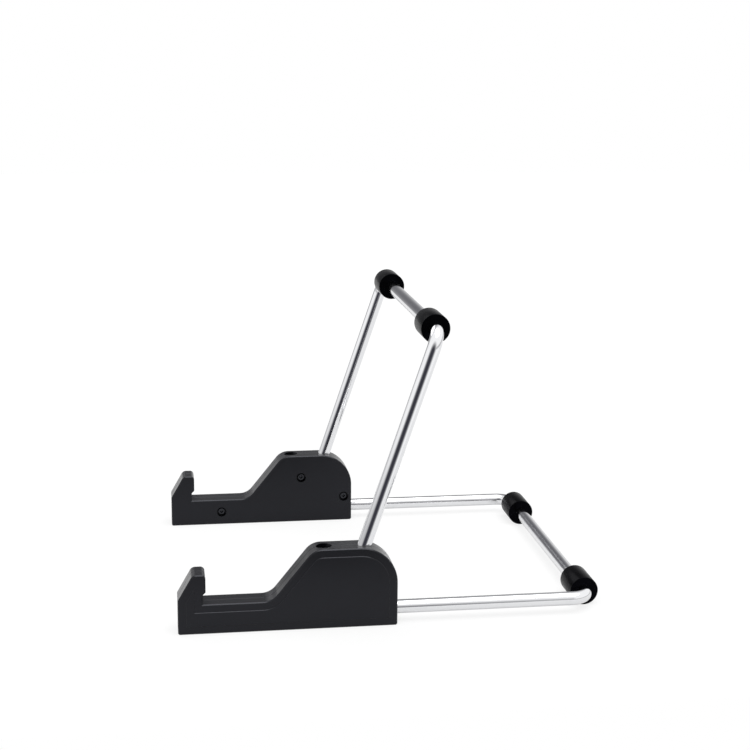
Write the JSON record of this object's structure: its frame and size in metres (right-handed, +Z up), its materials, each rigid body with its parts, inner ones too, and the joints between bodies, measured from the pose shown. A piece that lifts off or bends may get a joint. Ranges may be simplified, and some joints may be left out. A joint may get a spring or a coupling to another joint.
{
  "type": "tablet stand",
  "caption": "Free-standing tablet stand: lipped black plastic feet joined by a bent steel base rod, with a leaning lift-out steel back support and rubber sleeves.",
  "frame": {"origin": "on the table, midway between the feet and midway between the feet's front and the rear sleeves", "axes": "+X to the user's right, +Y to the rear, away from the lips, +Z up"},
  "size_m": [0.162, 0.1854, 0.1321],
  "materials": {
    "foot_plastic": "fine moulded texture, satin black",
    "rod_chrome": "bright chrome plate over drawn steel rod",
    "sleeve_rubber": "matte black rubber",
    "screw_steel": "black-oxide steel"
  },
  "bodies": {
    "feet_and_base": {"left_outer_shell": "foot_plastic", "left_inner_shell": "foot_plastic", "left_rear_screw": "screw_steel", "left_front_screw": "screw_steel", "left_hump_screw": "screw_steel", "left_base_sleeve": "sleeve_rubber", "right_outer_shell": "foot_plastic", "right_inner_shell": "foot_plastic", "right_rear_screw": "screw_steel", "right_front_screw": "screw_steel", "right_hump_screw": "screw_steel", "right_base_sleeve": "sleeve_rubber", "base_rod": "rod_chrome"},
    "back_support": {"support_rod": "rod_chrome", "left_support_sleeve": "sleeve_rubber", "right_support_sleeve": "sleeve_rubber"}
  },
  "joints": [
    {"name": "support_lift", "type": "slide", "parent": "feet_and_base", "child": "back_support", "axis": [0, 0.3206, 0.9472], "range_m": [0, 0.022]}
  ]
}
